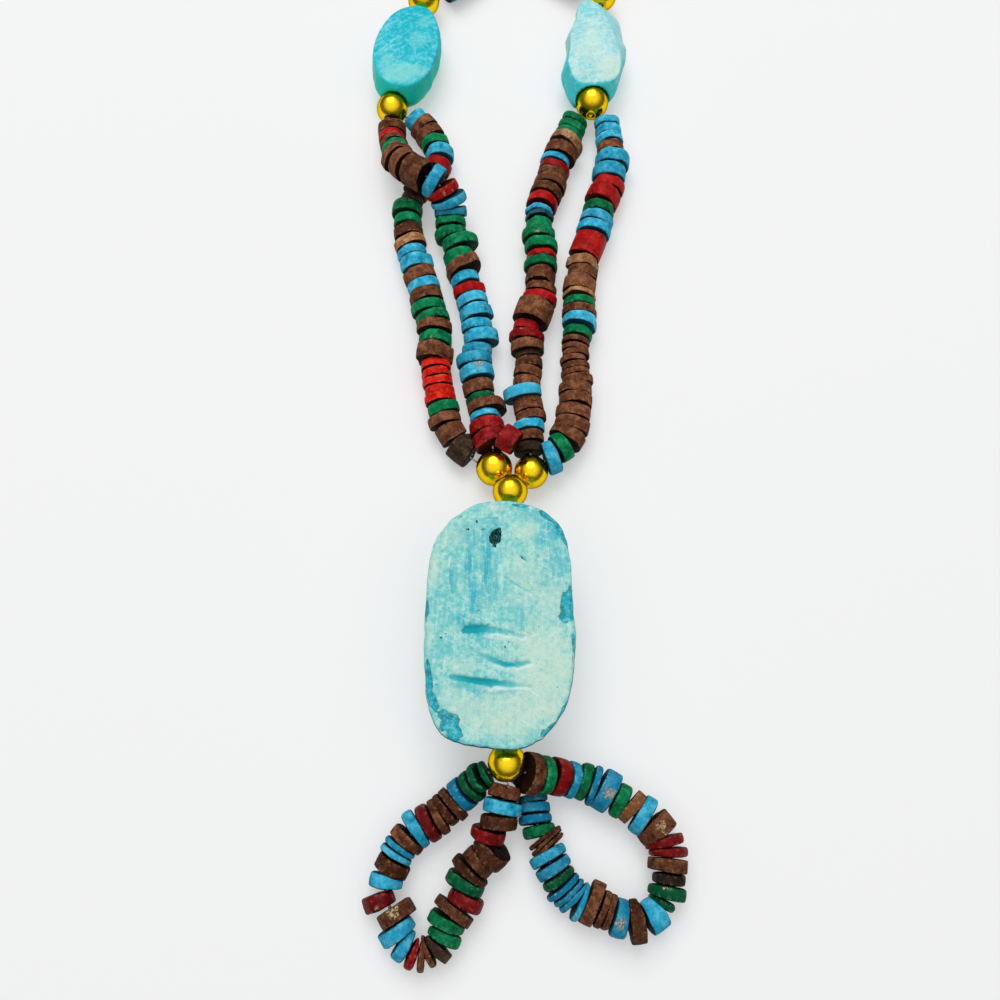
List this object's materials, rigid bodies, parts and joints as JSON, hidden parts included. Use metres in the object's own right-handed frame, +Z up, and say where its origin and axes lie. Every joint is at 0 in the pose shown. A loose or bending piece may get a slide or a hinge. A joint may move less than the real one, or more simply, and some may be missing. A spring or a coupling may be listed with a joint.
{
  "type": "scarab amulet necklace",
  "caption": "Strung necklace laid flat: a large glazed scarab amulet with its flat base up, smaller scarabs, gold-coloured ball beads, and strands and loops of painted clay discs.",
  "frame": {"origin": "under the middle of the necklace's bounding box, on the surface it lies on", "axes": "+Y from the bead loops towards the back of the neck, +X to the right seen from above, +Z up"},
  "size_m": [0.131, 0.3126, 0.0129],
  "materials": {
    "central_scarab_glaze": "pale turquoise glaze, worn and chalky in patches, darker blue in the chips and along the edge",
    "left_scarab_glaze": "saturated turquoise glaze with paler streaks",
    "right_scarab_glaze": "very pale turquoise glaze with turquoise sides and dark spots",
    "gold_plate": "polished gold-coloured metal",
    "painted_clay": "painted clay discs in blue, green, red, brown and tan, chipped at the rims",
    "white_thread": "off-white twisted thread"
  },
  "bodies": {
    "root": {"central_scarab": "central_scarab_glaze", "left_scarab": "left_scarab_glaze", "right_scarab": "right_scarab_glaze", "junction_left_bead": "gold_plate", "junction_right_bead": "gold_plate", "pendant_top_bead": "gold_plate", "pendant_bottom_bead": "gold_plate", "left_scarab_lower_bead": "gold_plate", "left_scarab_upper_bead": "gold_plate", "right_scarab_lower_bead": "gold_plate", "right_scarab_upper_bead": "gold_plate", "junction_side_disc": "painted_clay", "left_inner_strand": "painted_clay", "left_outer_strand": "painted_clay", "right_inner_strand": "painted_clay", "right_outer_strand": "painted_clay", "left_loop": "painted_clay", "right_loop": "painted_clay", "left_neck_strand": "painted_clay", "right_neck_strand": "painted_clay", "pendant_thread": "white_thread", "left_thread": "white_thread", "right_thread": "white_thread"}
  },
  "joints": []
}
